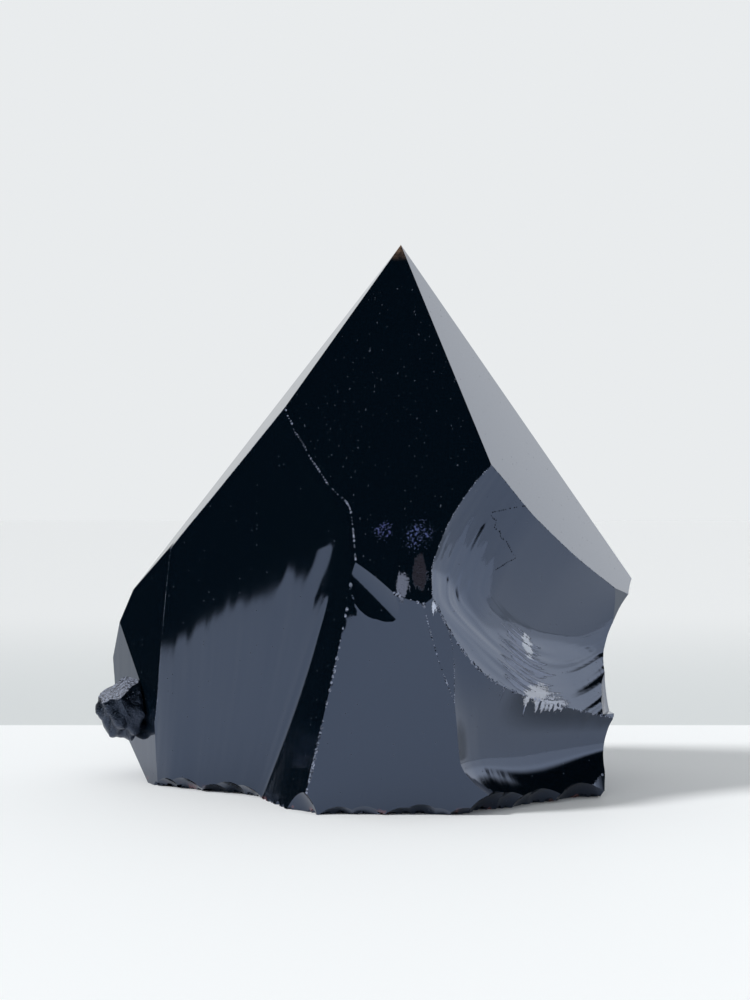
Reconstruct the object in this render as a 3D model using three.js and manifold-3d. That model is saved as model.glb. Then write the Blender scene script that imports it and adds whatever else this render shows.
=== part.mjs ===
// A point of obsidian: flat polished facets meet in one tip, and below them the sides are raw,
// shell-like breaks that run down to a flat sawn base, on which the stone stands.
// Millimetres, +Z up, the broken front towards -Y, the base on z = 0.
import * as THREE from 'three';
import { mergeVertices } from 'three/addons/utils/BufferGeometryUtils.js';
import Module from 'manifold-3d';

const wasm = await Module();
wasm.setup();

// Driving dimensions.
const tip = [6.6, 2.0, 99.6];
const blank = { width: 130, depth: 90, height: 110 };
const middle = [0.02, 0.32];

const degrees = THREE.MathUtils.degToRad;
const square = (x) => x * x;
const softMax = (a, b, width) => (a + b + Math.hypot(a - b, width)) / 2;

// Directions of a surface: azimuth 0 faces -Y and grows towards +X, lean grows upwards.
function facing(azimuth, lean, roll = 0) {
  const a = degrees(azimuth);
  const t = degrees(lean);
  const out = new THREE.Vector3(Math.sin(a) * Math.cos(t), -Math.cos(a) * Math.cos(t), Math.sin(t));
  const up = new THREE.Vector3(0, 0, 1).addScaledVector(out, -out.z).normalize();
  const right = new THREE.Vector3().crossVectors(up, out);
  right.applyAxisAngle(out, degrees(roll));
  up.applyAxisAngle(out, degrees(roll));
  return { right, up, out };
}

// A closed solid from a three.js geometry.
function solidOf(geometry) {
  const bare = new THREE.BufferGeometry();
  bare.setAttribute('position', geometry.getAttribute('position'));
  bare.setIndex(geometry.getIndex());
  const merged = mergeVertices(bare, 1e-4);
  return new wasm.Manifold(new wasm.Mesh({
    numProp: 3,
    vertProperties: new Float32Array(merged.getAttribute('position').array),
    triVerts: new Uint32Array(merged.getIndex().array),
  }));
}

// What one blow or one grinding takes off: a slab whose inner side is the new surface.
// shape(u, v) is the height of that surface over its middle plane; shear slants the grid's columns.
function slab(cut) {
  const { azimuth, lean, roll = 0, at, width = 260, height = 260, depth = 60 } = cut;
  const { steps = [1, 1], shear = 0, shape = () => 0 } = cut;
  const box = new THREE.BoxGeometry(width, height, 2, steps[0], steps[1], 1);
  const position = box.getAttribute('position');
  const { right, up, out } = facing(azimuth, lean, roll);
  const place = new THREE.Matrix4().makeBasis(right, up, out).setPosition(...at);
  const point = new THREE.Vector3();
  for (let i = 0; i < position.count; i += 1) {
    point.fromBufferAttribute(position, i);
    point.x += shear * point.y;
    point.z = point.z < 0 ? shape(point.x, point.y) : depth;
    point.applyMatrix4(place);
    position.setXYZ(i, point.x, point.y, point.z);
  }
  return solidOf(box);
}

// A rough lump that stands out of a break.
function lump({ at, radii, roughness }) {
  const ball = new THREE.IcosahedronGeometry(1, 2);
  const position = ball.getAttribute('position');
  const point = new THREE.Vector3();
  for (let i = 0; i < position.count; i += 1) {
    point.fromBufferAttribute(position, i);
    const waves = Math.sin(7 * point.x + 3 * point.z) * Math.sin(5 * point.y - 4 * point.z + 1);
    point.multiplyScalar(1 + roughness * waves);
    position.setXYZ(i, at[0] + radii[0] * point.x, at[1] + radii[1] * point.y, at[2] + radii[2] * point.z);
  }
  return solidOf(ball);
}

// Polished facets, all through the tip.
const facets = [
  { name: 'front', azimuth: -12.4, lean: 27.1 },
  { name: 'right', azimuth: 66.9, lean: 29.8 },
  { name: 'left', azimuth: -78.6, lean: 36.5 },
  { name: 'back right', azimuth: 155.9, lean: 26.5 },
  { name: 'back left', azimuth: -150.3, lean: 30.1 },
];

function leftFront(u, v) {
  const turn = 4 + 0.62 * u - 0.012 * square(Math.max(0, u - 8));
  const bow = v > 0 ? 0.003 : 0.001;
  const hollow = 2.3 - 0.116 * u - 0.016 * v - 0.002 * square(u) + 0.0056 * turn * v - bow * square(v);
  const wall = 0.4 * (u - 17.5 - 0.435 * v) - 1.2 + 0.0016 * square(Math.min(0, v));
  return Math.max(hollow, wall);
}

// The scars of the right side share one plane; p runs along the top edge, q across it.
const rightAt = [32, -12, 30];
const rightSlant = degrees(-32);

// The bowl falls back from the top edge; below its rim a band comes out to the ledge.
function bowlAndBand(u, v) {
  const p = Math.cos(rightSlant) * u + Math.sin(rightSlant) * v;
  const q = Math.cos(rightSlant) * v - Math.sin(rightSlant) * u;
  const right = Math.max(0, p);
  const rim = -3 + (p > -4 ? 0.028 : 0.0045) * square(p + 4);
  const left = 2.4 * THREE.MathUtils.smoothstep(p, -28, -14);
  const ends = left + 0.006 * square(right) + 0.02 * square(Math.max(0, p - 15));
  const bowl = -4 + ends + 0.012 * square(Math.max(0, q - rim));
  const shelf = -2 + 0.15 * p + 0.001 * square(Math.min(0, p)) + 0.004 * square(right) - 0.35 * q;
  return softMax(bowl, shelf, 0.4);
}

// The bowl under the ledge; its lowest line is level, and above that line it closes on the ledge.
function lowerBowl(u, v) {
  const ledge = -13.2 - 0.235 * u + 12.2 * Math.exp(-(u + 28) / 5.2);
  const floor = 0.4 + 0.19 * u + 0.0035 * square(u) + 0.02 * square(Math.max(0, -16 - u));
  const rise = v + 20.4;
  const above = (bowlAndBand(u, ledge) - floor) * square(rise / (ledge + 20.4));
  const under = (0.045 + 0.0002 * square(u + 3)) * square(rise);
  return floor + (rise > 0 ? above : under);
}

// Raw breaks, in the order they were struck.
const breaks = [
  {
    name: 'left front break with the wall beside the front pillar',
    azimuth: -42,
    lean: 0,
    at: [-23.3, -5, 25.8],
    width: 90,
    height: 100,
    steps: [36, 20],
    shear: 0.435,
    shape: leftFront,
  },
  {
    name: 'front pillar',
    azimuth: -12,
    lean: -7,
    at: [5, -28.6, 19],
    width: 60,
    height: 70,
    steps: [12, 12],
    shape: (u, v) => -0.7 + 0.0285 * u + 0.0115 * u * v,
  },
  { name: 'beside the pillar', azimuth: 12, lean: -2.5, at: [15.6, -29.9, 11.5] },
  {
    name: 'upper right bowl with the band below it',
    azimuth: 48,
    lean: 0,
    at: rightAt,
    width: 76,
    height: 64,
    steps: [38, 32],
    shape: bowlAndBand,
  },
  {
    name: 'lower right bowl under the ledge',
    azimuth: 48,
    lean: 0,
    at: rightAt,
    width: 60,
    height: 66,
    steps: [30, 44],
    shape: lowerBowl,
  },
  {
    name: 'lower right corner',
    azimuth: 27,
    lean: 20,
    at: [43.05, -5.4, 7.9],
    width: 32,
    height: 32,
    steps: [16, 16],
    shape: (u, v) => 0.03 * square(Math.min(u, 0)) + 0.06 * square(Math.max(v, -2)),
  },
  {
    name: 'chip at the right shoulder',
    azimuth: 58,
    lean: -10,
    at: [44.5, -0.5, 37.2],
    width: 50,
    height: 50,
    steps: [12, 8],
    shape: (u, v) => 0.02 * square(Math.min(u, 0)) + 0.01 * square(v),
  },
  {
    name: 'upper right flank',
    azimuth: 115,
    lean: -27,
    at: [47.4, 5.3, 25],
    width: 90,
    height: 60,
    steps: [10, 24],
    shape: (u, v) => -5 + 0.002 * square(u) + 0.028 * square(v),
  },
  {
    name: 'lower right flank',
    azimuth: 112,
    lean: -15,
    at: [42.2, -9.1, 0],
    width: 90,
    height: 90,
    steps: [1, 30],
    shape: (u, v) => 0.03 * square(Math.max(0, v - 12)),
  },
  {
    name: 'broad break across the back',
    azimuth: 176,
    lean: -5,
    at: [5, 27, 25],
    width: 120,
    height: 90,
    steps: [24, 16],
    shape: (u, v) => 0.0035 * square(u - 5) + 0.004 * square(v + 5) - 1,
  },
  {
    name: 'shell break at the back right',
    azimuth: 150,
    lean: -14,
    at: [27, 23, 14],
    width: 70,
    height: 60,
    steps: [20, 18],
    shape: (u, v) => 0.011 * square(u) + 0.013 * square(v) - 2.2,
  },
  {
    name: 'high break at the back left',
    azimuth: -158,
    lean: 12,
    at: [-20, 27, 30],
    width: 70,
    height: 60,
    steps: [20, 18],
    shape: (u, v) => 0.009 * square(u) + 0.014 * square(v + 2) - 2.4,
  },
  {
    name: 'back left break',
    azimuth: -140,
    lean: -6,
    at: [-46.8, 24, 18],
    width: 90,
    height: 80,
    steps: [18, 14],
    shape: (u, v) => 0.005 * square(u) + 0.003 * square(v) - 0.4,
  },
  {
    name: 'flute at the left',
    azimuth: -52,
    lean: 7,
    at: [-37.2, 4.4, 26],
    width: 60,
    height: 80,
    steps: [40, 20],
    shape: (u, v) => Math.max(0, 1.3 * u) + 0.05 * square(Math.min(0, v + 13)),
  },
  { name: 'left end', azimuth: -61, lean: -1.5, at: [-42.5, 9.3, 28] },
  { name: 'undercut at the lower left', azimuth: -100, lean: -42, at: [-41, 4.65, 0] },
];

// Chips along the sawn rim, from one corner of it to the next.
const rims = [
  { from: [-38, 3.0], to: [-19, -7.3], azimuth: -28, count: 6, size: 0.7 },
  { from: [-6, -25.4], to: [18, -25.4], azimuth: 0, count: 7, size: 0.75 },
  { from: [20.5, -24.5], to: [41.5, -9.6], azimuth: 35, count: 7, size: 1.5 },
];

function chipsOf({ from, to, azimuth, count, size }) {
  const chips = [];
  for (let i = 0; i < count; i += 1) {
    const t = (i + 0.5 + 0.3 * Math.sin(2.3 * i)) / count;
    const depth = size * (1 + 0.45 * Math.sin(1.9 * i + 1));
    chips.push({
      azimuth: azimuth + 14 * Math.sin(3.1 * i),
      lean: -42 + 9 * Math.sin(1.7 * i),
      at: [from[0] + (to[0] - from[0]) * t, from[1] + (to[1] - from[1]) * t, 0],
      width: 14,
      height: 14,
      depth: 9,
      steps: [8, 8],
      shape: (u, v) => 0.09 * (square(u) + square(v)) - depth,
    });
  }
  return chips;
}

let stone = solidOf(new THREE.BoxGeometry(blank.width, blank.depth, blank.height))
  .translate([0, 0, blank.height / 2]);
for (const facet of facets) {
  stone = stone.subtract(slab({ ...facet, at: tip, depth: 90 }));
}
for (const scar of breaks) {
  stone = stone.subtract(slab(scar));
}
const knob = lump({ at: [-46, 11, 13.9], radii: [5.2, 6.5, 5.9], roughness: 0.12 })
  .subtract(slab({ azimuth: -60, lean: 62, at: [-46, 11, 17.6] }))
  .subtract(slab({ azimuth: -20, lean: -8, at: [-46, 6.2, 14] }))
  .subtract(slab({ azimuth: -110, lean: -30, at: [-50, 10, 11] }));
stone = stone.add(knob);
for (const chip of rims.flatMap(chipsOf)) {
  stone = stone.subtract(slab(chip));
}
stone = stone.translate([-middle[0], -middle[1], 0]);

// Back to three.js.
const mesh = stone.getMesh();
const geometry = new THREE.BufferGeometry();
geometry.setAttribute('position', new THREE.BufferAttribute(mesh.vertProperties, 3));
geometry.setIndex(new THREE.BufferAttribute(mesh.triVerts, 1));
geometry.computeVertexNormals();

const obsidian = new THREE.MeshStandardMaterial({ color: 0x05070b, roughness: 0.08, metalness: 0 });
const point = new THREE.Mesh(geometry, obsidian);
point.name = 'obsidian_point';

const part = new THREE.Group();
part.add(point);

export default part;
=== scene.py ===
import math
import bpy
import bmesh
import numpy as np
from mathutils import Matrix, Vector


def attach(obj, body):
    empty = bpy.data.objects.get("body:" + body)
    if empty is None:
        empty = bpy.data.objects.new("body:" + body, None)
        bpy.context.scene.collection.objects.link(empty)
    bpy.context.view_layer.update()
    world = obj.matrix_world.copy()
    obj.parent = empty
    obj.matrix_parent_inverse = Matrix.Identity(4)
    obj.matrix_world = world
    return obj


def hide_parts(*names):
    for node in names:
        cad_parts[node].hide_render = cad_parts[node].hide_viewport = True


# A polished obsidian point with raw, shell-like broken sides, cut from a block blow by blow.
# Shapes are worked out in mm and turned into metres at the end.
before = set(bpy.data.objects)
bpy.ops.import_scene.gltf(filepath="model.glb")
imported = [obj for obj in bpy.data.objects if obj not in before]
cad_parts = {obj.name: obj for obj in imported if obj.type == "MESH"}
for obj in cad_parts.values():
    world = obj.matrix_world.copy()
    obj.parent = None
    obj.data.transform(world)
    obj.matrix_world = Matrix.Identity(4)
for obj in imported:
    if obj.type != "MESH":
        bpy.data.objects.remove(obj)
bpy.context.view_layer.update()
scene = bpy.context.scene
mm = 0.001
middle = (0.02, 0.32)  # of the blank's own frame, on the base
print("stage 1: frame loaded")


# Camera: level, in front of the stone.
view = {"sensor": 36, "lens": 61.2, "nearest": 0.01, "place": (0.00183, -0.31032, 0.05275)}


def makeCamera():
    data = bpy.data.cameras.new("camera")
    data.sensor_width = view["sensor"]
    data.lens = view["lens"]
    data.clip_start = view["nearest"]
    camera = bpy.data.objects.new("camera", data)
    camera.location = view["place"]
    camera.rotation_euler = (math.radians(90), 0, 0)
    scene.collection.objects.link(camera)
    scene.camera = camera


makeCamera()
scene.view_settings.view_transform = "Standard"


# Each face of the stone carries a number for what made it. Facets count from 0, breaks from 10.
firstBreak = 10
sawnBase = 50
rimChip = 60
crestChip = 61
smallChip = 62
knobSkin = 100
knobTop = 102


# Directions of a surface: azimuth 0 faces -Y and grows towards +X, lean grows upwards.
def facing(azimuth, lean):
    a, t = math.radians(azimuth), math.radians(lean)
    out = np.array([math.sin(a) * math.cos(t), -math.cos(a) * math.cos(t), math.sin(t)])
    up = np.array([0.0, 0.0, 1.0]) - out[2] * out
    up /= np.linalg.norm(up)
    return np.cross(up, out), up, out


# Smooth noise over a plane, about -1 to 1, the same in every run.
def ripple(x, y, seed):
    table = np.random.default_rng(seed).uniform(-1, 1, (64, 64))
    x, y = np.broadcast_arrays(x, y)
    i, j = np.floor(x).astype(int), np.floor(y).astype(int)
    s, t = x - i, y - j
    s, t = s * s * (3 - 2 * s), t * t * (3 - 2 * t)
    low = table[i % 64, j % 64] * (1 - s) + table[(i + 1) % 64, j % 64] * s
    high = table[i % 64, (j + 1) % 64] * (1 - s) + table[(i + 1) % 64, (j + 1) % 64] * s
    return low * (1 - t) + high * t


def softMax(a, b, width):
    return (a + b + np.sqrt((a - b) ** 2 + width ** 2)) / 2


def meshObject(name, points, faces, kind):
    mesh = bpy.data.meshes.new(name)
    mesh.from_pydata(points, [], faces)
    mesh.attributes.new("kind", "INT", "FACE").data.foreach_set("value", [kind] * len(mesh.polygons))
    thing = bpy.data.objects.new(name, mesh)
    scene.collection.objects.link(thing)
    return thing


# The rings and rays of a shell-like break, about -1 to 1, around the point of the blow.
def arcsOf(u, v):
    away, turn = np.hypot(u, v), np.arctan2(u, -v)
    rings = ripple(0.32 * away, 2.5 * turn, 18) + 0.5 * ripple(0.8 * away, 4 * turn, 19)
    return 0.6 * rings + 0.25 * ripple(34 * turn, 0.05 * away, 20)


# What one blow or one grinding takes off: a slab whose inner side is the new surface.
def slab(cut, kind):
    right, up, out = facing(cut["azimuth"], cut["lean"])
    uLow, uHigh, vLow, vHigh = cut.get("span", (-130, 130, -130, 130))
    cell = cut.get("cell")
    across = max(1, round((uHigh - uLow) / cell)) if cell else 1
    along = max(1, round((vHigh - vLow) / cell)) if cell else 1
    v, u = np.meshgrid(np.linspace(vLow, vHigh, along + 1),
                       np.linspace(uLow, uHigh, across + 1), indexing="ij")
    u = u + cut.get("shear", 0) * v
    height = cut["shape"](u, v) if "shape" in cut else np.zeros_like(u)
    if "arcs" in cut:
        height = height + cut["arcs"] * (arcsOf(u - cut["grain"][0], v - cut["grain"][1]) - 1)
    at = np.array(cut["at"], float)
    inner = at + u[..., None] * right + v[..., None] * up + height[..., None] * out
    index = np.arange(inner.shape[0] * inner.shape[1]).reshape(inner.shape[:2])
    faces = np.stack([index[:-1, :-1], index[1:, :-1], index[1:, 1:], index[:-1, 1:]], -1).reshape(-1, 4)
    border = np.concatenate([index[0, :-1], index[:-1, -1], index[-1, :0:-1], index[:0:-1, 0]])
    flat = inner.reshape(-1, 3)
    lift = cut.get("depth", 60) - height.reshape(-1)[border]
    outer = flat[border] + lift[:, None] * out
    top = len(flat) + np.arange(len(border))
    sides = np.stack([border, np.roll(border, -1), np.roll(top, -1), top], -1)
    faces = faces.tolist() + sides.tolist() + [top.tolist()]
    return meshObject("slab", np.concatenate([flat, outer]).tolist(), faces, kind)


# Joins or cuts with a closed solid, keeping each face's kind.
def combine(solid, tool, operation):
    modifier = solid.modifiers.new("combine", "BOOLEAN")
    modifier.operation = operation
    modifier.solver = "MANIFOLD"
    modifier.object = tool
    evaluated = solid.evaluated_get(bpy.context.evaluated_depsgraph_get())
    mesh = bpy.data.meshes.new_from_object(evaluated)
    solid.modifiers.clear()
    old = solid.data
    solid.data = mesh
    bpy.data.meshes.remove(old)
    toolMesh = tool.data
    bpy.data.objects.remove(tool)
    bpy.data.meshes.remove(toolMesh)


tip = (6.6, 2.0, 99.6)
facets = [
    {"name": "front", "azimuth": -12.4, "lean": 27.1},
    {"name": "right", "azimuth": 66.9, "lean": 29.8},
    {"name": "left", "azimuth": -78.6, "lean": 36.5},
    {"name": "back right", "azimuth": 155.9, "lean": 26.5},
    {"name": "back left", "azimuth": -150.3, "lean": 30.1},
]


def smoothStep(low, high, x):
    t = np.clip((x - low) / (high - low), 0, 1)
    return t * t * (3 - 2 * t)


# A hollow with a steep, slanted wall at its right. Its lean changes with height, more in some columns
# than in others. The streaks slant with the wall near it and stand upright far from it.
def leftFront(u, v):
    fan = 0.435 * np.exp(np.clip(u - 0.435 * v - 17.5, -60, 0) / 12)
    column = u - fan * v
    level = np.interp(u, (-18, -12, -5, 3, 10, 14, 21), (1.6, -1.6, 4.3, 7.9, 11.2, 13, 15))
    reach = 0.016 + 0.0035 * np.maximum(0, u - 8)
    streaks = reach * (0.6 * ripple(0.45 * column, 0.03 * v, 7) + 0.6 * ripple(1.2 * column, 0.05 * v, 8))
    hollow = streaks * np.clip(v - level, -4, 4)
    turn = 4 + 0.62 * u - 0.012 * np.maximum(0, u - 8) ** 2
    turn = turn - 3.6 * np.exp(-((u + 12) / 3.5) ** 2) + 5 * smoothStep(-13, -19, u)
    hollow = hollow + 2.3 - 0.116 * u - 0.016 * v - 0.002 * u ** 2 + 0.0056 * turn * v
    hollow = hollow - np.where(v > 0, 0.003, 0.001) * v ** 2
    wall = 0.4 * (u - 17.5 - 0.435 * v) - 1.2 + 0.0016 * np.minimum(0, v) ** 2
    return softMax(hollow, wall, 0.5)


def frontPillar(u, v):
    high = smoothStep(8, 17, v)
    streaks = 0.1 * high * ripple(1.1 * u + 0.5 * v, 0.15 * v, 11) + 0.02 * ripple(0.15 * u, 0.15 * v, 12)
    worn = v - 14.5 - 1.6 * (u + 6) - 2.2 * ripple(1.5 * (u + 0.3 * v), 0.05 * v, 13)
    worn = np.minimum(worn, 9)
    wear = np.where(worn < 4, 0.02 * np.maximum(0, worn) ** 2, 0.16 * worn - 0.32)
    return -0.7 + 0.0285 * u + 0.0115 * u * v + streaks - wear


# The three scars of the right side share one plane; p runs along the top edge, q across it.
rightAt = (32, -12, 30)
rightSlant = math.radians(-32)


def alongTop(u, v):
    return (math.cos(rightSlant) * u + math.sin(rightSlant) * v,
            math.cos(rightSlant) * v - math.sin(rightSlant) * u)


def rimLine(p):
    return -3 + np.where(p > -4, 0.028, 0.0045) * (p + 4) ** 2


# How far a point lies below the upper bowl's rim.
def outwardOf(p, q):
    return softMax(rimLine(p) - q, -17 - p, 2)


# The bowl falls back from the top edge; below its rim a band of hackles comes out to the ledge.
def bowlAndBand(u, v):
    p, q = alongTop(u, v)
    right = np.maximum(0, p)
    rim = rimLine(p)
    ends = 2.4 * smoothStep(-28, -14, p) + 0.006 * right ** 2 + 0.02 * np.maximum(0, p - 15) ** 2
    bowl = -4 + ends + 0.012 * np.maximum(0, q - rim) ** 2
    shelf = -2 + 0.15 * p + 0.001 * np.minimum(0, p) ** 2 + 0.004 * right ** 2 - 0.35 * q
    outward = outwardOf(p, q)
    inBand = smoothStep(-1, 3, outward)
    hackles = 0.09 * ripple(0.9 * outward, 0.06 * p, 3) + 0.055 * ripple(2.1 * outward, 0.1 * p, 4)
    steps = 0.05 * smoothStep(-17, -24, p) * ripple(1.5 * outward, 0.3 * q, 5)
    swell = 0.05 * ripple(0.13 * p, 0.2 * q, 6)
    return softMax(bowl, shelf, 0.4) + inBand * (hackles + steps) + swell


# The bowl under the ledge; its lowest line is level, and above that line it closes on the ledge.
def lowerBowl(u, v):
    ledge = -13.2 - 0.235 * u + 12.2 * np.exp(-(u + 28) / 5.2)
    floor = 0.4 + 0.19 * u + 0.0035 * u ** 2 + 0.02 * np.maximum(0, -16 - u) ** 2
    rise, whole = v + 20.4, ledge + 20.4
    above = (bowlAndBand(u, ledge) - floor) * (rise / whole) ** 2
    under = (0.045 + 0.0002 * (u + 3) ** 2) * rise ** 2
    arcs = 0.02 * smoothStep(-8, -20, u) * ripple(1.2 * u + 0.3 * v, 0.05 * v, 9)
    return floor + np.where(rise > 0, above, under) + arcs + 0.04 * ripple(0.12 * u, 0.12 * v, 10)


# Raw breaks, in the order they were struck. The grain is the point that the hackles fan out from.
breaks = [
    {"name": "left front", "azimuth": -42, "lean": 0, "at": (-23.3, -5, 25.8),
     "span": (-34, 40, -28, 48), "cell": 0.4, "shear": 0.435, "grain": (22, 190), "shape": leftFront},
    {"name": "front pillar", "azimuth": -12, "lean": -7, "at": (5, -28.6, 19),
     "span": (-24, 24, -21, 30), "cell": 0.5, "grain": (0, 120), "shape": frontPillar},
    {"name": "beside the pillar", "azimuth": 12, "lean": -2.5, "at": (15.6, -29.9, 11.5), "grain": (0, 120)},
    {"name": "upper right bowl and band", "azimuth": 48, "lean": 0, "at": rightAt,
     "span": (-38, 38, -32, 32), "cell": 0.4, "grain": (-60, 20), "shape": bowlAndBand},
    {"name": "lower right bowl", "azimuth": 48, "lean": 0, "at": rightAt,
     "span": (-30, 30, -33, 14), "cell": 0.4, "grain": (-20, 30), "shape": lowerBowl},
    {"name": "lower right corner", "azimuth": 27, "lean": 20, "at": (43.05, -5.4, 7.9),
     "span": (-16, 16, -16, 16), "cell": 0.4, "grain": (0, 40),
     "shape": lambda u, v: 0.03 * np.minimum(u, 0) ** 2 + 0.12 * np.maximum(v, -2) ** 2},
    {"name": "shoulder chip", "azimuth": 58, "lean": -10, "at": (44.5, -0.5, 37.2),
     "span": (-22, 25, -22, 25), "cell": 0.8, "arcs": 0.08, "grain": (0, 40),
     "shape": lambda u, v: 0.02 * np.minimum(u, 0) ** 2 + 0.01 * v ** 2},
    {"name": "upper right flank", "azimuth": 115, "lean": -27, "at": (47.4, 5.3, 25),
     "span": (-44, 44, -28, 28), "cell": 0.8, "arcs": 0.12, "grain": (0, 60),
     "shape": lambda u, v: -5 + 0.002 * u ** 2 + 0.028 * v ** 2},
    {"name": "lower right flank", "azimuth": 112, "lean": -15, "at": (42.2, -9.1, 0),
     "span": (-44, 44, -5, 44), "cell": 0.8, "arcs": 0.12, "grain": (0, 60),
     "shape": lambda u, v: 0.03 * np.maximum(0, v - 12) ** 2},
    {"name": "broad back", "azimuth": 176, "lean": -5, "at": (5, 27, 25),
     "span": (-60, 60, -30, 44), "cell": 0.7, "arcs": 0.16, "grain": (10, 40),
     "shape": lambda u, v: 0.0035 * (u - 5) ** 2 + 0.004 * (v + 5) ** 2 - 1},
    {"name": "back right shell", "azimuth": 150, "lean": -14, "at": (27, 23, 14),
     "span": (-34, 34, -28, 30), "cell": 0.7, "arcs": 0.16, "grain": (0, 26),
     "shape": lambda u, v: 0.011 * u ** 2 + 0.013 * v ** 2 - 2.2},
    {"name": "high back left", "azimuth": -158, "lean": 12, "at": (-20, 27, 30),
     "span": (-34, 34, -28, 28), "cell": 0.7, "arcs": 0.16, "grain": (0, 26),
     "shape": lambda u, v: 0.009 * u ** 2 + 0.014 * (v + 2) ** 2 - 2.4},
    {"name": "back left", "azimuth": -140, "lean": -6, "at": (-46.8, 24, 18),
     "span": (-44, 44, -22, 34), "cell": 0.8, "arcs": 0.16, "grain": (0, 40),
     "shape": lambda u, v: 0.005 * u ** 2 + 0.003 * v ** 2 - 0.4},
    {"name": "flute", "azimuth": -52, "lean": 7, "at": (-37.2, 4.4, 26),
     "span": (-26, 26, -30, 34), "cell": 0.6, "grain": (0, 120),
     "shape": lambda u, v: np.maximum(0, 1.3 * u) + 0.05 * np.maximum(0, -13 - v) ** 2},
    {"name": "dark flake", "azimuth": -20, "lean": 10, "at": (0.9, -27.9, 35.6),
     "span": (-7, 7, -8, 8), "cell": 0.3, "depth": 8, "grain": (6, 20),
     "shape": lambda u, v: 0.04 * (u + v) ** 2 + 0.003 * (u - v) ** 2 - 0.5},
    {"name": "pillar foot", "azimuth": -50, "lean": -28, "at": (-10.6, -23.6, 2.2),
     "span": (-6, 6, -6, 6), "cell": 0.4, "depth": 9, "grain": (0, 20),
     "shape": lambda u, v: 0.06 * u ** 2 + 0.05 * v ** 2 - 0.7},
    {"name": "left end", "azimuth": -61, "lean": -1.5, "at": (-42.5, 9.3, 28), "grain": (0, 90)},
    {"name": "lower left undercut", "azimuth": -100, "lean": -42, "at": (-41, 4.65, 0), "grain": (0, 90)},
]


# Chips along the sawn rim, from one corner of it to the next.
rims = [
    {"from": (-38, 3.0), "to": (-19, -7.3), "azimuth": -28, "count": 6, "size": 0.7},
    {"from": (-6, -25.4), "to": (18, -25.4), "azimuth": 0, "count": 7, "size": 0.75},
    {"from": (20.5, -24.5), "to": (41.5, -9.6), "azimuth": 35, "count": 9, "size": 2.1},
]


def chipsOf(rim):
    chips = []
    for i in range(rim["count"]):
        t = (i + 0.5 + 0.3 * math.sin(2.3 * i)) / rim["count"]
        depth = rim["size"] * (1 + 0.45 * math.sin(1.9 * i + 1))
        chips.append({
            "azimuth": rim["azimuth"] + 14 * math.sin(3.1 * i),
            "lean": -42 + 9 * math.sin(1.7 * i),
            "at": (rim["from"][0] + (rim["to"][0] - rim["from"][0]) * t,
                   rim["from"][1] + (rim["to"][1] - rim["from"][1]) * t, 0),
            "span": (-7, 7, -7, 7), "cell": 0.5, "depth": 9, "grain": (0, 12),
            "shape": lambda u, v, d=depth: 0.09 * (u ** 2 + v ** 2) - d})
    return chips


# The knob at the lower left, grown from a ball and cut flat twice.
knobShape = {
    "centre": (-45.5, 11, 13.9), "radii": (5.1, 6.5, 5.9), "waves": 0.12, "pits": 0.07, "crumbs": 0.035,
    "cuts": ({"azimuth": -110, "lean": -30, "at": (-50, 10, 11)},
             {"azimuth": -60, "lean": 62, "at": (-46, 11, 17.6)}),
}


def makeKnob():
    ball = bmesh.new()
    bmesh.ops.create_icosphere(ball, subdivisions=5, radius=1)
    for vert in ball.verts:
        x, y, z = vert.co
        waves = knobShape["waves"] * math.sin(7 * x + 3 * z) * math.sin(5 * y - 4 * z + 1)
        pits = knobShape["pits"] * ripple(3.2 * x + 9 + 2 * y, 3.2 * z + 9 - y, 14)
        crumbs = knobShape["crumbs"] * ripple(8 * x + 20, 8 * z + 9 * y + 20, 15)
        vert.co *= 1 + waves + pits + crumbs
        vert.co = Vector([c + r * a for c, r, a in zip(knobShape["centre"], knobShape["radii"], vert.co)])
    mesh = bpy.data.meshes.new("knob")
    ball.to_mesh(mesh)
    ball.free()
    mesh.attributes.new("kind", "INT", "FACE").data.foreach_set("value", [knobSkin] * len(mesh.polygons))
    knob = bpy.data.objects.new("knob", mesh)
    scene.collection.objects.link(knob)
    for i, cut in enumerate(knobShape["cuts"]):
        combine(knob, slab(cut, knobSkin + 1 + i), "DIFFERENCE")
    return knob


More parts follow.
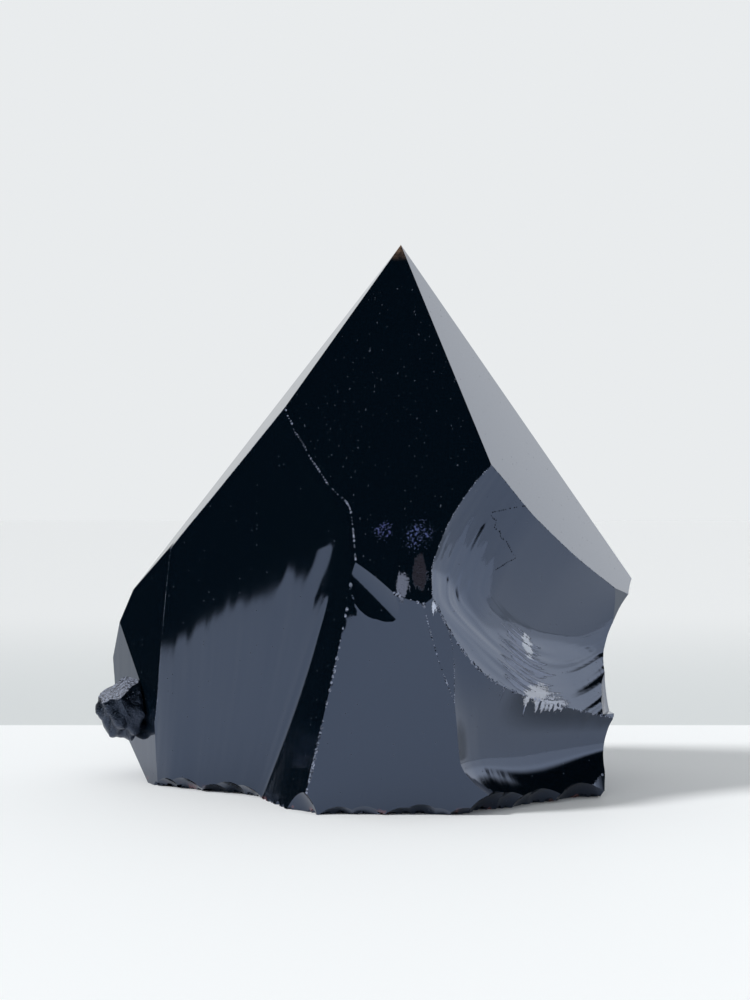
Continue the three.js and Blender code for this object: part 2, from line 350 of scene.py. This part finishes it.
# Sets small faceted cutters along a path: spacing between them, size from least to most.
def chipTree(material):
    tree = bpy.data.node_groups.new("chips_along_path", "GeometryNodeTree")
    face = tree.interface
    face.new_socket("Path", in_out="INPUT", socket_type="NodeSocketGeometry")
    for name in ("Spacing", "Least", "Most", "Share", "Seed"):
        kind = "NodeSocketInt" if name == "Seed" else "NodeSocketFloat"
        face.new_socket(name, in_out="INPUT", socket_type=kind)
    face.new_socket("Chips", in_out="OUTPUT", socket_type="NodeSocketGeometry")
    nodes, links = tree.nodes, tree.links
    source, result = nodes.new("NodeGroupInput"), nodes.new("NodeGroupOutput")
    curve, resample = nodes.new("GeometryNodeMeshToCurve"), nodes.new("GeometryNodeResampleCurve")
    ball, put = nodes.new("GeometryNodeMeshIcoSphere"), nodes.new("GeometryNodeInstanceOnPoints")
    turn, size = nodes.new("FunctionNodeRandomValue"), nodes.new("FunctionNodeRandomValue")
    keep = nodes.new("FunctionNodeRandomValue")
    keep.data_type = "BOOLEAN"
    real, paint = nodes.new("GeometryNodeRealizeInstances"), nodes.new("GeometryNodeSetMaterial")
    resample.mode = "LENGTH"
    ball.inputs["Subdivisions"].default_value = 1
    turn.data_type = "FLOAT_VECTOR"
    turn.inputs["Max"].default_value = (6.28, 6.28, 6.28)
    paint.inputs["Material"].default_value = material
    links.new(source.outputs["Path"], curve.inputs["Mesh"])
    links.new(curve.outputs["Curve"], resample.inputs["Curve"])
    links.new(source.outputs["Spacing"], resample.inputs["Length"])
    links.new(resample.outputs["Curve"], put.inputs["Points"])
    links.new(ball.outputs["Mesh"], put.inputs["Instance"])
    links.new(source.outputs["Seed"], turn.inputs["Seed"])
    links.new(source.outputs["Seed"], size.inputs["Seed"])
    links.new(source.outputs["Seed"], keep.inputs["Seed"])
    links.new(source.outputs["Share"], keep.inputs["Probability"])
    links.new(keep.outputs[3], put.inputs["Selection"])
    links.new(source.outputs["Least"], size.inputs[2])
    links.new(source.outputs["Most"], size.inputs[3])
    links.new(turn.outputs["Value"], put.inputs["Rotation"])
    links.new(size.outputs[1], put.inputs["Scale"])
    links.new(put.outputs["Instances"], real.inputs["Geometry"])
    links.new(real.outputs["Geometry"], paint.inputs["Geometry"])
    links.new(paint.outputs["Geometry"], result.inputs["Chips"])
    return tree


# The meeting line of two kinds of face, as points in order along one axis.
def crestOf(stone, one, other, axis):
    work = bmesh.new()
    work.from_mesh(stone.data)
    kind = work.faces.layers.int["kind"]
    points = {}
    for edge in work.edges:
        if {face[kind] for face in edge.link_faces} == {one, other}:
            for vert in edge.verts:
                points[vert.index] = vert.co.copy()
    work.free()
    return sorted(points.values(), key=lambda point: point[axis])


# The outline of the sawn base, in order around it.
def rimOf(stone):
    work = bmesh.new()
    work.from_mesh(stone.data)
    kind = work.faces.layers.int["kind"]
    points = {}
    for edge in work.edges:
        kinds = [face[kind] for face in edge.link_faces]
        if sawnBase in kinds and set(kinds) != {sawnBase}:
            for vert in edge.verts:
                points[vert.index] = vert.co.copy()
    work.free()
    return sorted(points.values(), key=lambda point: math.atan2(point.y, point.x))


# Takes chips off along a path in two rounds, so that no two cutters of a round touch.
def chipAlong(stone, tree, points, least, most, seed, kind):
    lengths = [0]
    for before, after in zip(points, points[1:]):
        lengths.append(lengths[-1] + (after - before).length)
    spacing = 2.1 * most
    for turn in range(2):
        start = turn * spacing / 2
        kept = [point for point, length in zip(points, lengths) if length >= start]
        if len(kept) < 2 or lengths[-1] - start < spacing:
            continue
        mesh = bpy.data.meshes.new("path")
        steps = [(i, i + 1) for i in range(len(kept) - 1) if (kept[i + 1] - kept[i]).length < 3]
        mesh.from_pydata(kept, steps, [])
        path = bpy.data.objects.new("path", mesh)
        scene.collection.objects.link(path)
        modifier = path.modifiers.new("chips", "NODES")
        modifier.node_group = tree
        values = {"Spacing": spacing, "Least": least, "Most": most, "Share": 0.6, "Seed": seed + turn}
        for item in tree.interface.items_tree:
            if item.in_out == "INPUT" and item.name in values:
                modifier[item.identifier] = values[item.name]
        chips = bpy.data.meshes.new_from_object(path.evaluated_get(bpy.context.evaluated_depsgraph_get()))
        chips.attributes.new("kind", "INT", "FACE").data.foreach_set("value", [kind] * len(chips.polygons))
        cutter = bpy.data.objects.new("chips", chips)
        scene.collection.objects.link(cutter)
        bpy.data.objects.remove(path)
        bpy.data.meshes.remove(mesh)
        combine(stone, cutter, "DIFFERENCE")


def makeStone():
    corners = [(x, y, z) for x in (-65, 65) for y in (-45, 45) for z in (0, 110)]
    sides = [(0, 1, 3, 2), (4, 6, 7, 5), (0, 4, 5, 1), (2, 3, 7, 6), (0, 2, 6, 4), (1, 5, 7, 3)]
    stone = meshObject("obsidian_stone", corners, sides, sawnBase)
    for i, facet in enumerate(facets):
        combine(stone, slab({**facet, "at": tip, "depth": 90}, i), "DIFFERENCE")
    for i, cut in enumerate(breaks):
        combine(stone, slab(cut, firstBreak + i), "DIFFERENCE")
    combine(stone, makeKnob(), "UNION")
    for rim in rims:
        for chip in chipsOf(rim):
            combine(stone, slab(chip, rimChip), "DIFFERENCE")
    return stone


# Where two surfaces meet, with the least and most radius of the chips there, in mm.
crests = [
    {"between": ("front", "left front"), "axis": 2, "size": (0.12, 0.3)},
    {"between": ("left front", "front pillar"), "axis": 2, "size": (0.1, 0.5)},
    {"between": ("front", "front pillar"), "axis": 0, "size": (0.15, 0.5)},
    {"between": ("front", "upper right bowl and band"), "axis": 2, "size": (0.06, 0.2)},
    {"between": ("front pillar", "upper right bowl and band"), "axis": 2, "size": (0.2, 0.6)},
    {"between": ("right", "upper right bowl and band"), "axis": 2, "size": (0.06, 0.16)},
    {"between": ("upper right bowl and band", "lower right bowl"), "axis": 0, "size": (0.15, 0.5)},
    {"between": ("front pillar", "beside the pillar"), "axis": 2, "size": (0.06, 0.22)},
    {"between": ("beside the pillar", "lower right bowl"), "axis": 2, "size": (0.05, 0.15)},
    {"between": ("left", "left front"), "axis": 2, "size": (0.06, 0.15)},
    {"between": ("left front", "flute"), "axis": 2, "size": (0.06, 0.2)},
    {"between": ("lower right bowl", "lower right corner"), "axis": 2, "size": (0.1, 0.3)},
]


# A hairline crack in the upper right bowl, by its corners across and up the scar, in mm.
hairline = [(-5.4, 22.2), (-10.4, 21.4), (-13.8, 20.7), (-12.4, 17.6), (-8.2, 13), (-13.2, 10.8)]


def hairlinePoints():
    right, up, out = facing(48, 0)
    corners = np.array(hairline)
    points = []
    for start, end in zip(corners, corners[1:]):
        for t in np.linspace(0, 1, 24, endpoint=False):
            u, v = start + (end - start) * t
            u += 0.5 * ripple(1.1 * v, 3.1, 16) + 0.2 * ripple(3 * v, 7.3, 17)
            place = np.array(rightAt) + u * right + v * up + bowlAndBand(u, v) * out
            points.append(Vector(place))
    return points


def kindOf(name):
    names = [facet["name"] for facet in facets]
    if name in names:
        return names.index(name)
    return firstBreak + [cut["name"] for cut in breaks].index(name)


def chipStone(stone):
    cutter = bpy.data.materials.new("cutter")
    tree = chipTree(cutter)
    rim = rimOf(stone)
    paths = []
    for crest in crests:
        one, other = (kindOf(name) for name in crest["between"])
        paths.append((crestOf(stone, one, other, crest["axis"]), crest["size"], crestChip))
    paths.append((rim, (0.3, 1.1), smallChip))
    paths.append((hairlinePoints(), (0.08, 0.2), smallChip))
    for i, (points, (least, most), kind) in enumerate(paths):
        if len(points) > 1:
            chipAlong(stone, tree, points, least, most, 10 * i, kind)
    bpy.data.node_groups.remove(tree)
    bpy.data.materials.remove(cutter)


stone = makeStone()
print("stage 2: stone cut,", len(stone.data.polygons), "faces")
chipStone(stone)
print("stage 3: crests and rim chipped,", len(stone.data.polygons), "faces")


# Marks the crests sharp, and gives each face what the material needs to know of it. Angles between
# faces above the first value count as a crest; points closer than the second, in metres, are joined.
sharpAngle = math.radians(24)
mergeWithin = 2e-6


def finishStone(stone):
    mesh = stone.data
    mesh.transform(Matrix.Translation((-middle[0] * mm, -middle[1] * mm, 0)) @ Matrix.Scale(mm, 4))
    work = bmesh.new()
    work.from_mesh(mesh)
    bmesh.ops.remove_doubles(work, verts=work.verts, dist=mergeWithin)
    bmesh.ops.triangulate(work, faces=[f for f in work.faces if len(f.verts) > 4])
    bmesh.ops.recalc_face_normals(work, faces=work.faces)
    kind = work.faces.layers.int["kind"]
    for face in work.faces:
        face.smooth = face[kind] not in (crestChip, smallChip)
    for edge in work.edges:
        if len(edge.link_faces) == 2:
            one, other = edge.link_faces
            turned = edge.calc_face_angle(0) > sharpAngle
            edge.smooth = not (turned or one[kind] != other[kind])
    work.to_mesh(mesh)
    work.free()
    kinds = np.zeros(len(mesh.polygons), np.int32)
    mesh.attributes["kind"].data.foreach_get("value", kinds)
    # The mask of crest chips and the knob's top cut: crushed glass with painted highlight on the crests,
    # painted light on the knob's top.
    masks = {"raw": (kinds >= firstBreak) & (kinds < sawnBase),
             "chipped": (kinds >= rimChip) & (kinds <= smallChip),
             "crushedAndLit": (kinds == crestChip) | (kinds == knobTop),
             "rough": kinds >= knobSkin,
             "sawn": kinds == sawnBase}
    for name, mask in masks.items():
        mesh.attributes.new(name, "FLOAT", "FACE").data.foreach_set("value", mask.astype(np.float32))
    grainMap(mesh, kinds)


# A map in metres whose second axis runs along the hackles of each break.
def grainMap(mesh, kinds):
    corners = np.zeros(len(mesh.loops), np.int32)
    mesh.loops.foreach_get("vertex_index", corners)
    places = np.zeros(len(mesh.vertices) * 3)
    mesh.vertices.foreach_get("co", places)
    places = places.reshape(-1, 3)[corners] / mm + np.array([middle[0], middle[1], 0])
    counts = np.zeros(len(mesh.polygons), np.int32)
    mesh.polygons.foreach_get("loop_total", counts)
    cornerKinds = np.repeat(kinds, counts)
    grain = places[:, [0, 2]].copy()
    for i, cut in enumerate(breaks):
        mine = cornerKinds == firstBreak + i
        right, up, out = facing(cut["azimuth"], cut["lean"])
        local = places[mine] - np.array(cut["at"])
        du, dv = local @ right - cut["grain"][0], local @ up - cut["grain"][1]
        reach = math.hypot(*cut["grain"])
        grain[mine, 0] = np.arctan2(du, -dv) * reach
        grain[mine, 1] = np.hypot(du, dv)
        if cut.get("shape") is bowlAndBand:
            p, q = alongTop(local @ right, local @ up)
            grain[mine, 0], grain[mine, 1] = outwardOf(p, q), p
    layer = mesh.uv_layers.new(name="grain")
    layer.data.foreach_set("uv", (grain * mm).reshape(-1))


finishStone(stone)
print("stage 4: crests and grain,", len(stone.data.polygons), "faces")


# Materials
def newMaterial(name):
    material = bpy.data.materials.new(name)
    material.use_nodes = True
    nodes = material.node_tree.nodes
    return material, nodes, material.node_tree.links, nodes["Principled BSDF"]


# Places on the stone, in mm: where the glass is crushed, and how far that reaches.
bruises = [
    {"at": (27, -17.5, 23.5), "reach": (12, 10, 10), "share": 0.53, "streaky": 0.92,
     "color": (0.22, 0.25, 0.34)},
    {"at": (28.4, -15.2, 27.4), "reach": (2.0, 2.6, 4.4), "share": 0.50, "color": (0.62, 0.66, 0.74)},
    {"at": (29.8, -18.0, 19.3), "reach": (6.5, 6.0, 2.8), "share": 0.47, "color": (0.55, 0.57, 0.63)},
    {"at": (32.5, -15.3, 17.6), "reach": (7.0, 6.0, 2.7), "share": 0.48, "color": (0.50, 0.53, 0.62)},
    {"at": (6.5, -29.9, 39.1), "reach": (1.7, 2.6, 4.0), "share": 0.40, "color": (0.11, 0.12, 0.16)},
    {"at": (9.2, -29.3, 40.6), "reach": (2.2, 2.8, 5.2), "share": 0.42, "streaky": 0.7,
     "color": (0.013, 0.009, 0.011)},
    {"at": (9.2, -26.1, 47.0), "reach": (4.6, 3.6, 6.5), "share": 0.62, "streaky": 0,
     "color": (0.06, 0.08, 0.24)},
    {"at": (3.3, -24.5, 47.6), "reach": (3.2, 2.8, 3.6), "share": 0.61, "streaky": 0,
     "color": (0.05, 0.06, 0.22)},
    {"at": (11.8, -32.2, 35.4), "reach": (1.6, 2.0, 2.2), "share": 0.52, "color": (0.55, 0.60, 0.72)},
]


# Short ways to add and join shader nodes.
class Shader:
    def __init__(self, material):
        self.nodes, self.links = material.node_tree.nodes, material.node_tree.links

    def set(self, socket, value):
        if isinstance(value, bpy.types.NodeSocket):
            self.links.new(value, socket)
        elif value is not None:
            socket.default_value = value

    def calc(self, operation, a, b=None, clamp=False):
        node = self.nodes.new("ShaderNodeMath")
        node.operation, node.use_clamp = operation, clamp
        self.set(node.inputs[0], a)
        self.set(node.inputs[1], b)
        return node.outputs[0]

    def vector(self, operation, a, b=None):
        node = self.nodes.new("ShaderNodeVectorMath")
        node.operation = operation
        self.set(node.inputs[0], a)
        self.set(node.inputs[1], b)
        return node.outputs["Value" if operation == "LENGTH" else "Vector"]

    def ramp(self, value, low, high):
        node = self.nodes.new("ShaderNodeMapRange")
        node.interpolation_type = "SMOOTHSTEP"
        self.set(node.inputs["Value"], value)
        node.inputs["From Min"].default_value = low
        node.inputs["From Max"].default_value = high
        return node.outputs["Result"]

    def noise(self, place, scale, detail=2.0, roughness=0.5):
        node = self.nodes.new("ShaderNodeTexNoise")
        self.set(node.inputs["Vector"], place)
        node.inputs["Scale"].default_value = scale
        node.inputs["Detail"].default_value = detail
        node.inputs["Roughness"].default_value = roughness
        return node.outputs["Fac"]

    def mix(self, amount, a, b):
        node = self.nodes.new("ShaderNodeMix")
        node.data_type = "RGBA"
        self.set(node.inputs["Factor"], amount)
        self.set(node.inputs["A"], a)
        self.set(node.inputs["B"], b)
        return node.outputs["Result"]

    def mask(self, name):
        node = self.nodes.new("ShaderNodeAttribute")
        node.attribute_name = name
        return node.outputs["Fac"]


glass = {
    "color": (0.0009, 0.003, 0.0058, 1), "tint": (0.55, 0.68, 1.0, 1), "ior": 2.0,
    "scales": (0.42, 0.46, 0.58, 1), "dust": (0.35, 0.38, 0.42, 1), "scratches": (0.20, 0.23, 0.30, 1),
    "stain": (0.10, 0.035, 0.028, 1), "thinTip": (0.20, 0.13, 0.09, 1), "sawn": (0.03, 0.033, 0.038, 1),
    "polish": 0.035, "tipFrom": 0.0962, "tipTo": 0.0996, "stainFrom": 0.0016, "stainTo": 0.0003,
    "fineHackles": (1500, 60, 1), "broadHackles": (420, 22, 1), "scratchLines": (2400, 2400, 130),
    "crumbs": 2600, "grit": 9000, "specks": 1000,
    "fineRelief": 0.010, "broadRelief": 0.045, "gritRelief": 0.0012,
    "bruiseRelief": 0.25, "knobRelief": 0.35,
    "dullLoose": 0.5, "dullSawn": 0.55, "dullKnob": 0.16, "dullRaw": 0.035, "dullChipped": 0.06,
}


def obsidianMaterial():
    material, nodes, links, shader = newMaterial("obsidian")
    make = Shader(material)
    place = nodes.new("ShaderNodeTexCoord").outputs["Object"]
    grain = nodes.new("ShaderNodeUVMap")
    grain.uv_map = "grain"
    raw, chipped, rough, sawn = (make.mask(name) for name in ("raw", "chipped", "rough", "sawn"))
    crushedAndLit = make.mask("crushedAndLit")

    # Fine hackles run along the second axis of the grain map.
    fine = make.noise(make.vector("MULTIPLY", grain.outputs["UV"], glass["fineHackles"]), 1.0, 3.0)
    broad = make.noise(make.vector("MULTIPLY", grain.outputs["UV"], glass["broadHackles"]), 1.0, 2.0)
    crumbs = make.noise(place, glass["crumbs"], 4.0, 0.65)
    grit = make.noise(place, glass["grit"], 2.0, 0.6)

    # Crushed glass: pale scales within each bruise, cut up by the hackles.
    color = glass["color"]
    bruised = None
    for bruise in bruises:
        centre = [(a - b) * mm for a, b in zip(bruise["at"], (*middle, 0))]
        apart = make.vector("SUBTRACT", place, centre)
        apart = make.vector("DIVIDE", apart, [reach * mm for reach in bruise["reach"]])
        near = make.calc("SUBTRACT", 1, make.ramp(make.vector("LENGTH", apart), 0.25, 1.0))
        streaky = bruise.get("streaky", 0.6)
        scales = make.calc("ADD", make.calc("MULTIPLY", fine, streaky),
                           make.calc("MULTIPLY", crumbs, 1 - streaky))
        lifted = make.calc("ADD", scales, make.calc("MULTIPLY", near, 0.22))
        share = bruise["share"] + 0.14
        amount = make.calc("MULTIPLY", make.ramp(lifted, share, share + 0.05), make.ramp(near, 0.0, 0.3))
        color = make.mix(amount, color, (*bruise["color"], 1))
        bruised = amount if bruised is None else make.calc("MAXIMUM", bruised, amount)

    # Dust specks, fine scratches on the polish, pale crushed spots on the chips, rusty stains by the base.
    # Pale scales on the crest chips are crushed glass and painted highlight along the crests; on the knob's
    # top cut they are painted light.
    dust = nodes.new("ShaderNodeTexVoronoi")
    make.set(dust.inputs["Vector"], place)
    dust.inputs["Scale"].default_value = glass["specks"]
    split = nodes.new("ShaderNodeSeparateColor")
    links.new(dust.outputs["Color"], split.inputs[0])
    specks = make.calc("SUBTRACT", 1, make.ramp(dust.outputs["Distance"], 0.09, 0.14))
    specks = make.calc("MULTIPLY", specks, make.ramp(split.outputs[0], 0.8, 0.85))
    color = make.mix(make.calc("MULTIPLY", specks, 0.07), color, glass["dust"])
    lines = make.noise(make.vector("MULTIPLY", place, glass["scratchLines"]), 1.0, 1.0)
    lines = make.calc("MULTIPLY", make.ramp(lines, 0.74, 0.77), make.calc("SUBTRACT", 1, raw))
    color = make.mix(make.calc("MULTIPLY", lines, 0.25), color, glass["scratches"])
    flecks = make.calc("MULTIPLY", make.calc("MAXIMUM", chipped, rough), make.ramp(crumbs, 0.66, 0.72))
    # Painted highlight on the crest chips, over their crushed glass, and painted light on the knob's upward
    # top cut.
    paleCrushedAndLit = make.calc("MULTIPLY", crushedAndLit, make.ramp(crumbs, 0.44, 0.56))
    pale = make.calc("MAXIMUM", make.calc("MULTIPLY", flecks, 0.6), paleCrushedAndLit)
    color = make.mix(make.calc("MULTIPLY", pale, 0.75), color, glass["scales"])
    height = nodes.new("ShaderNodeSeparateXYZ")
    links.new(place, height.inputs[0])
    low = make.calc("SUBTRACT", 1, make.ramp(height.outputs["Z"], glass["stainTo"], glass["stainFrom"]))
    stain = make.calc("MULTIPLY", low, make.ramp(make.noise(place, 300, 2.0), 0.60, 0.66))
    color = make.mix(stain, color, glass["stain"])

    # The glass is thin enough at the very tip to glow brown.
    glow = make.calc("MULTIPLY", make.ramp(height.outputs["Z"], glass["tipFrom"], glass["tipTo"]),
                     make.ramp(make.noise(place, 700, 2.0), 0.25, 0.6))
    color = make.mix(make.calc("MULTIPLY", glow, 0.8), color, glass["thinTip"])
    color = make.mix(sawn, color, glass["sawn"])
    links.new(color, shader.inputs["Base Color"])

    # Polished facets are smoothest; crushed glass, the knob and the sawn base scatter more.
    loose = make.calc("MAXIMUM", bruised, make.calc("MAXIMUM", pale, specks))
    dull = make.calc("MAXIMUM", make.calc("MULTIPLY", loose, glass["dullLoose"]),
                     make.calc("MULTIPLY", sawn, glass["dullSawn"]))
    dull = make.calc("ADD", dull, make.calc("MULTIPLY", rough, glass["dullKnob"]))
    dull = make.calc("ADD", dull, make.calc("MULTIPLY", raw, glass["dullRaw"]))
    dull = make.calc("ADD", dull, make.calc("MULTIPLY", chipped, glass["dullChipped"]))
    links.new(make.calc("ADD", dull, glass["polish"], True), shader.inputs["Roughness"])
    shader.inputs["IOR"].default_value = glass["ior"]
    shader.inputs["Specular Tint"].default_value = glass["tint"]

    # Relief in mm.
    hackles = make.calc("ADD", make.calc("MULTIPLY", fine, glass["fineRelief"]),
                        make.calc("MULTIPLY", broad, glass["broadRelief"]))
    relief = make.calc("MULTIPLY", raw, hackles)
    for part, amount in ((bruised, glass["bruiseRelief"]), (rough, glass["knobRelief"])):
        crumbled = make.calc("MULTIPLY", make.calc("MULTIPLY", part, crumbs), amount)
        relief = make.calc("ADD", relief, crumbled)
    relief = make.calc("ADD", relief, make.calc("MULTIPLY", grit, glass["gritRelief"]))
    bump = nodes.new("ShaderNodeBump")
    bump.inputs["Strength"].default_value = 1
    bump.inputs["Distance"].default_value = mm
    links.new(relief, bump.inputs["Height"])
    links.new(bump.outputs["Normal"], shader.inputs["Normal"])
    return material


stone.data.materials.clear()
stone.data.materials.append(obsidianMaterial())
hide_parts("obsidian_point")
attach(stone, "root")
print("stage 5: material")


# Studio. The camera and the soft light see an even pale room. Reflections see a dark room instead, lit
# only low down, from the right round to behind the stone and a little past it. Angles are in degrees.
studio = {
    "table": (0.905, 0.92, 0.93, 1), "shadedWallFoot": (0.66, 0.685, 0.69, 1), "wall": (0.80, 0.81, 0.815, 1),
    "wallFrom": 0.087, "wallTo": 0.089, "halfWidth": 4,
    "sun": 2.35, "sunAngle": 9, "sunTowards": (0.62, 0.28, -0.6),
    "room": (0.96, 0.985, 1, 1), "softLight": 0.6, "backdropExtra": 0.25,
    "lit": 1.25, "unlit": 0.002, "rightFrom": (50, 60), "leftFrom": (142, 150), "leftShare": 0.68,
    "topEdge": 14, "topRise": 8, "riseFrom": (94, 104), "topFade": 7,
    "lampExtra": 0.25, "lampLow": (9, 16), "lampEnd": (122, 138),
}


def makeFloor():
    mesh = bpy.data.meshes.new("table")
    half = studio["halfWidth"]
    corners = [(-half, -half, 0), (half, -half, 0), (half, half, 0), (-half, half, 0)]
    mesh.from_pydata(corners, [], [(0, 1, 2, 3)])
    table = bpy.data.objects.new("table", mesh)
    scene.collection.objects.link(table)
    material, nodes, links, shader = newMaterial("pale_table")
    make = Shader(material)
    parts = nodes.new("ShaderNodeSeparateXYZ")
    links.new(nodes.new("ShaderNodeTexCoord").outputs["Object"], parts.inputs[0])
    # Behind wallFrom the table takes the tone of the back wall, darkest at the wall's foot and lighter
    # further back: painted shade at the foot of the wall.
    behind = make.ramp(parts.outputs["Y"], studio["wallFrom"], studio["wallTo"])
    far = make.ramp(parts.outputs["Y"], 0.09, 0.5)
    wall = make.mix(far, studio["shadedWallFoot"], studio["wall"])
    links.new(make.mix(behind, studio["table"], wall), shader.inputs["Base Color"])
    shader.inputs["Roughness"].default_value = 0.7
    shader.inputs["Specular IOR Level"].default_value = 0.2
    mesh.materials.append(material)


def makeSun():
    data = bpy.data.lights.new("sun", "SUN")
    data.energy = studio["sun"]
    data.angle = math.radians(studio["sunAngle"])
    sun = bpy.data.objects.new("sun", data)
    sun.rotation_euler = Vector(studio["sunTowards"]).to_track_quat("-Z", "Y").to_euler()
    sun.visible_glossy = False
    scene.collection.objects.link(sun)


def makeWorld():
    world = bpy.data.worlds.new("studio")
    scene.world = world
    world.use_nodes = True
    nodes, links = world.node_tree.nodes, world.node_tree.links
    background = nodes["Background"]

    def calc(operation, a, b=None):
        node = nodes.new("ShaderNodeMath")
        node.operation = operation
        for socket, value in zip(node.inputs, (a, b)):
            if isinstance(value, (int, float)):
                socket.default_value = value
            elif value is not None:
                links.new(value, socket)
        return node.outputs[0]

    def ramp(value, low, high):
        node = nodes.new("ShaderNodeMapRange")
        node.interpolation_type = "SMOOTHSTEP"
        links.new(value, node.inputs["Value"])
        node.inputs["From Min"].default_value = low
        node.inputs["From Max"].default_value = high
        return node.outputs["Result"]

    coordinates = nodes.new("ShaderNodeTexCoord")
    split = nodes.new("ShaderNodeSeparateXYZ")
    links.new(coordinates.outputs["Generated"], split.inputs[0])
    x, y, z = split.outputs
    azimuth = calc("MULTIPLY", calc("ARCTAN2", x, calc("MULTIPLY", y, -1)), 180 / math.pi)
    elevation = calc("MULTIPLY", calc("ARCSINE", z), 180 / math.pi)
    right = ramp(azimuth, *studio["rightFrom"])
    left = ramp(calc("MULTIPLY", azimuth, -1), *studio["leftFrom"])
    rise = calc("MULTIPLY", ramp(azimuth, *studio["riseFrom"]), studio["topRise"])
    top = calc("ADD", rise, studio["topEdge"])
    low = calc("SUBTRACT", 1, ramp(calc("SUBTRACT", elevation, top), 0, studio["topFade"]))
    surround = calc("MULTIPLY", calc("MAXIMUM", right, calc("MULTIPLY", left, studio["leftShare"])), low)
    lamp = calc("MULTIPLY", ramp(elevation, *studio["lampLow"]),
                calc("SUBTRACT", 1, ramp(azimuth, *studio["lampEnd"])))
    surround = calc("MULTIPLY", surround, calc("ADD", calc("MULTIPLY", lamp, studio["lampExtra"]), 1))
    glossy = calc("ADD", calc("MULTIPLY", surround, studio["lit"]), studio["unlit"])
    rays = nodes.new("ShaderNodeLightPath")
    isGlossy = rays.outputs["Is Glossy Ray"]
    isCamera = rays.outputs["Is Camera Ray"]
    soft = calc("ADD", calc("MULTIPLY", isCamera, studio["backdropExtra"]), studio["softLight"])
    strength = calc("ADD", calc("MULTIPLY", isGlossy, glossy),
                    calc("MULTIPLY", calc("SUBTRACT", 1, isGlossy), soft))
    background.inputs["Color"].default_value = studio["room"]
    links.new(strength, background.inputs["Strength"])


makeFloor()
makeSun()
makeWorld()
print("stage 6: studio")
